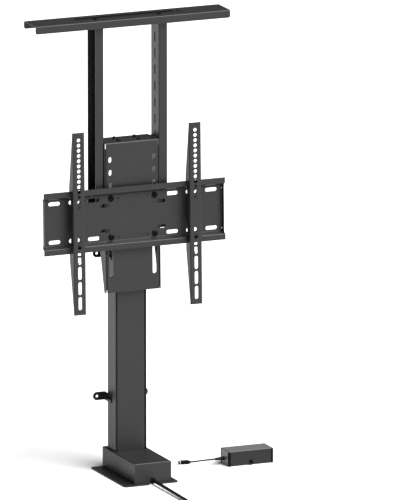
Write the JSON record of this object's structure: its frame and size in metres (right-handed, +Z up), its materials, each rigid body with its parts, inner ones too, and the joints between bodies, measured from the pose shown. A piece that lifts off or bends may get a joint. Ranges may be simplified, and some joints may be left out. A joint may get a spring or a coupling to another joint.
{
  "type": "tv lift mechanism",
  "caption": "Motorised floor-standing television lift with a telescopic column, slotted bracket, hooked arms, lid frame and a separate control box.",
  "frame": {"origin": "centre of the four floor holes, on the underside of the base plate", "axes": "+Z up along the column, +Y towards the wall behind, +X to the right of someone facing the television"},
  "size_m": [0.597, 0.5971, 1.109],
  "materials": {
    "charcoal_powder_coat": "fine satin powder coat",
    "grey_powder_coat": "satin powder coat",
    "black_powder_coat": "satin powder coat",
    "black_steel_screws": "black zinc plate",
    "zinc_plated_steel": "bright zinc plate",
    "machined_steel": "rolled and ground",
    "cast_alloy": "as cast",
    "nut_bronze": "machined",
    "white_nylon": "moulded",
    "black_nylon": "moulded",
    "black_plastic": "moulded, fine grain",
    "black_rubber": "matt",
    "circuit_board": "solder mask"
  },
  "bodies": {
    "base": {"base_plate": "charcoal_powder_coat", "foot_channel": "zinc_plated_steel", "foot_plate_screws": "zinc_plated_steel", "foot_side_screws": "zinc_plated_steel", "base_cover": "charcoal_powder_coat", "base_cover_screws": "zinc_plated_steel", "gearbox_housing": "cast_alloy", "drive_motor": "zinc_plated_steel", "motor_end_cap": "black_plastic", "screw_bearing": "machined_steel", "cord_grommet": "black_rubber", "motor_cord_run": "black_rubber", "motor_cord_coil": "black_rubber", "cord_tie": "black_plastic", "cord_connector": "black_plastic", "outer_column": "charcoal_powder_coat", "column_front_panel": "charcoal_powder_coat", "outer_guide_collar": "black_nylon", "wall_bracket_lower_left": "black_powder_coat", "wall_bracket_lower_right": "black_powder_coat", "wall_bracket_upper_left": "black_powder_coat", "wall_bracket_upper_right": "black_powder_coat", "wall_bracket_screws": "black_steel_screws", "control_box_tray": "charcoal_powder_coat", "control_box_cover": "grey_powder_coat", "control_box_corner_strips": "black_plastic", "control_board": "circuit_board", "pigtail_strain_relief": "black_rubber", "pigtail_cord": "black_rubber", "pigtail_connector": "black_plastic"},
    "button": {"pairing_button": "black_plastic"},
    "middle": {"middle_tube": "charcoal_powder_coat", "middle_nut": "nut_bronze", "middle_slide_shoe": "white_nylon", "middle_guide_collar": "black_nylon", "upper_bearing": "machined_steel"},
    "lower_screw": {"lower_screw": "machined_steel"},
    "upper_screw": {"upper_screw": "machined_steel"},
    "carriage": {"inner_tube": "charcoal_powder_coat", "inner_top_cap": "cast_alloy", "drive_nut": "nut_bronze", "inner_slide_shoe": "white_nylon", "carriage_plate": "charcoal_powder_coat", "carriage_side_left": "charcoal_powder_coat", "carriage_side_right": "charcoal_powder_coat", "top_screws": "black_steel_screws", "tv_bracket": "charcoal_powder_coat", "bracket_bolts": "black_steel_screws", "bracket_nuts": "zinc_plated_steel", "lid_upright_left": "charcoal_powder_coat", "lid_upright_right": "charcoal_powder_coat", "frame_bolts": "black_steel_screws", "frame_nuts": "zinc_plated_steel", "lid_channel": "charcoal_powder_coat", "lid_tie_channel": "charcoal_powder_coat"},
    "arm_left": {"tv_arm_left": "charcoal_powder_coat", "arm_lock_screw_left": "black_steel_screws"},
    "arm_right": {"tv_arm_right": "charcoal_powder_coat", "arm_lock_screw_right": "black_steel_screws"}
  },
  "joints": [
    {"name": "lift", "type": "slide", "parent": "base", "child": "carriage", "axis": [0, 0, 1], "range_m": [0, 0.9]},
    {"name": "middle_stage", "type": "slide", "parent": "base", "child": "middle", "axis": [0, 0, 1], "range_m": [0, 0.45]},
    {"name": "lower_screw_turn", "type": "hinge", "parent": "base", "child": "lower_screw", "pos_m": [0, 0.06625, 0], "axis": [0, 0, 1], "range_deg": [0, 16201]},
    {"name": "upper_screw_turn", "type": "hinge", "parent": "middle", "child": "upper_screw", "pos_m": [0, 0.06625, 0], "axis": [0, 0, 1], "range_deg": [0, 16201]},
    {"name": "arm_left_slide", "type": "slide", "parent": "carriage", "child": "arm_left", "axis": [1, 0, 0], "range_m": [-0.05, 0.05]},
    {"name": "arm_right_slide", "type": "slide", "parent": "carriage", "child": "arm_right", "axis": [1, 0, 0], "range_m": [-0.05, 0.05]},
    {"name": "button_press", "type": "slide", "parent": "base", "child": "button", "axis": [0, 1, 0], "range_m": [0, 0.0015], "stiffness_N_per_m": 400}
  ],
  "couplings": [
    {"joint": "middle_stage", "follows": "lift", "ratio": 0.5},
    {"joint": "lower_screw_turn", "follows": "lift", "rad_per_m": 314.16},
    {"joint": "upper_screw_turn", "follows": "lift", "rad_per_m": 314.16}
  ]
}
